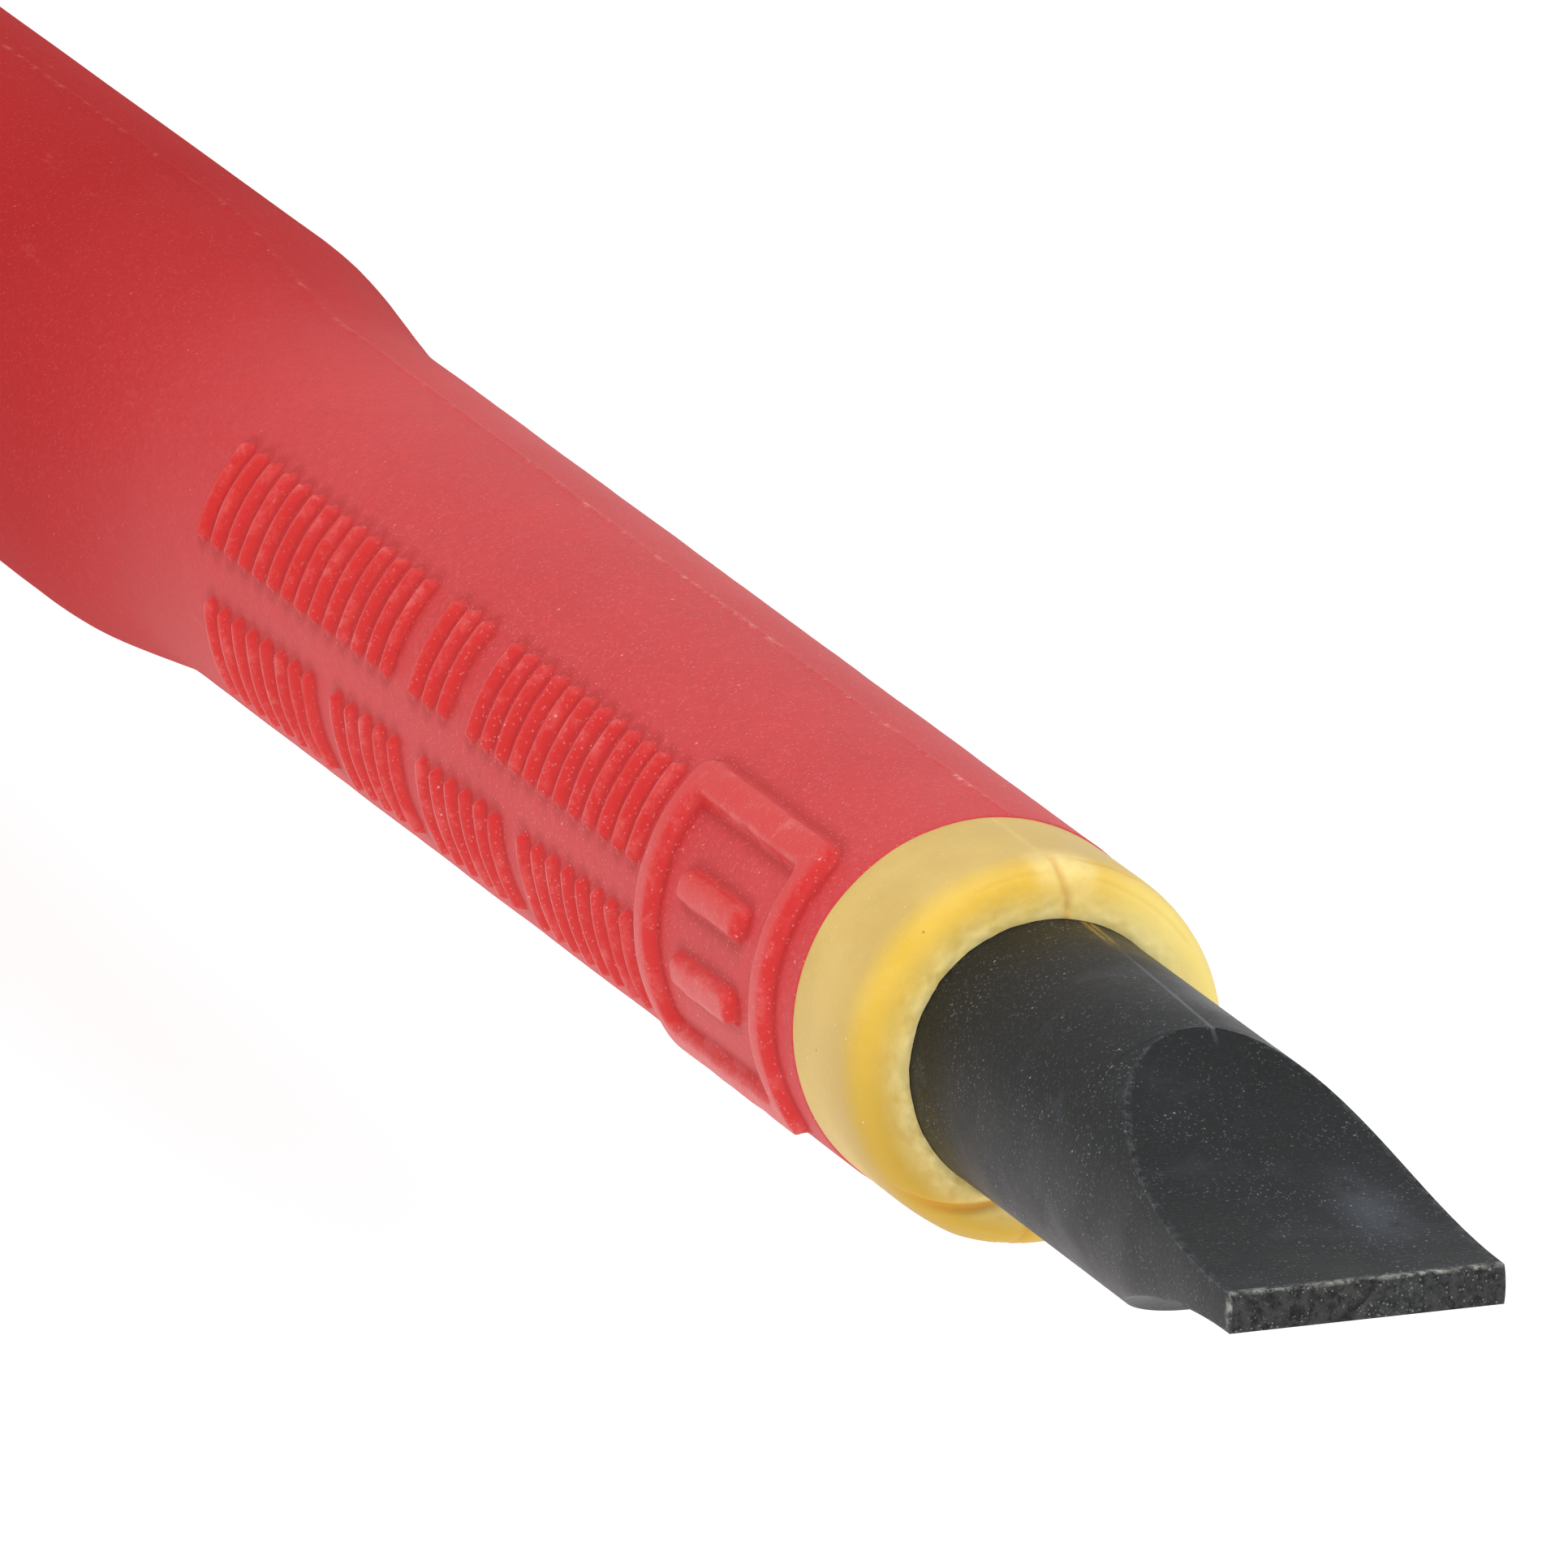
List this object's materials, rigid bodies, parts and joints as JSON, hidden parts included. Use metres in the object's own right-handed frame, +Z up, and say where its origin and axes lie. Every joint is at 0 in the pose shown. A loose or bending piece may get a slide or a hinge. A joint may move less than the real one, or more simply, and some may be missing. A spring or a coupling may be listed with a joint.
{
  "type": "insulated screwdriver",
  "caption": "Insulated slotted screwdriver: dark hollow-ground blade, yellow inner and red outer sleeve with raised ribs, guarded six-sided grip with soft pads.",
  "frame": {"origin": "middle of the flat end face of the slotted tip", "axes": "+X runs from the tip up the shank to the butt of the handle, the tip is widest along Y, and +Z is up when the tool lies on a flat of its handle"},
  "size_m": [0.2034, 0.0288, 0.0264],
  "materials": {
    "black_steel": "fine-blasted steel with a black oxide finish, semi-matte, faintly blue, bare at the sharp edges",
    "yellow_insulation": "soft moulded yellow insulation, satin, with a pale trimmed edge at the mouth",
    "red_insulation": "soft moulded red insulation, matte, finely grained",
    "core_plastic": "hard black moulded core, as moulded, hidden in the handle",
    "red_shell": "hard red moulded shell, satin with a fine spark-eroded grain",
    "red_cap": "hard red moulded cap, satin",
    "grip_soft": "soft yellow thermoplastic rubber, matte, ribbed across",
    "marker_plastic": "yellow moulded disc with a sunk bar"
  },
  "bodies": {
    "root": {"blade": "black_steel", "inner_insulation": "yellow_insulation", "outer_insulation": "red_insulation", "handle_core": "core_plastic", "handle_shell": "red_shell", "end_cap": "red_cap", "tip_marker": "marker_plastic", "grip_pad_1": "grip_soft", "grip_pad_2": "grip_soft", "grip_pad_3": "grip_soft", "grip_pad_4": "grip_soft", "grip_pad_5": "grip_soft", "grip_pad_6": "grip_soft"}
  },
  "joints": []
}
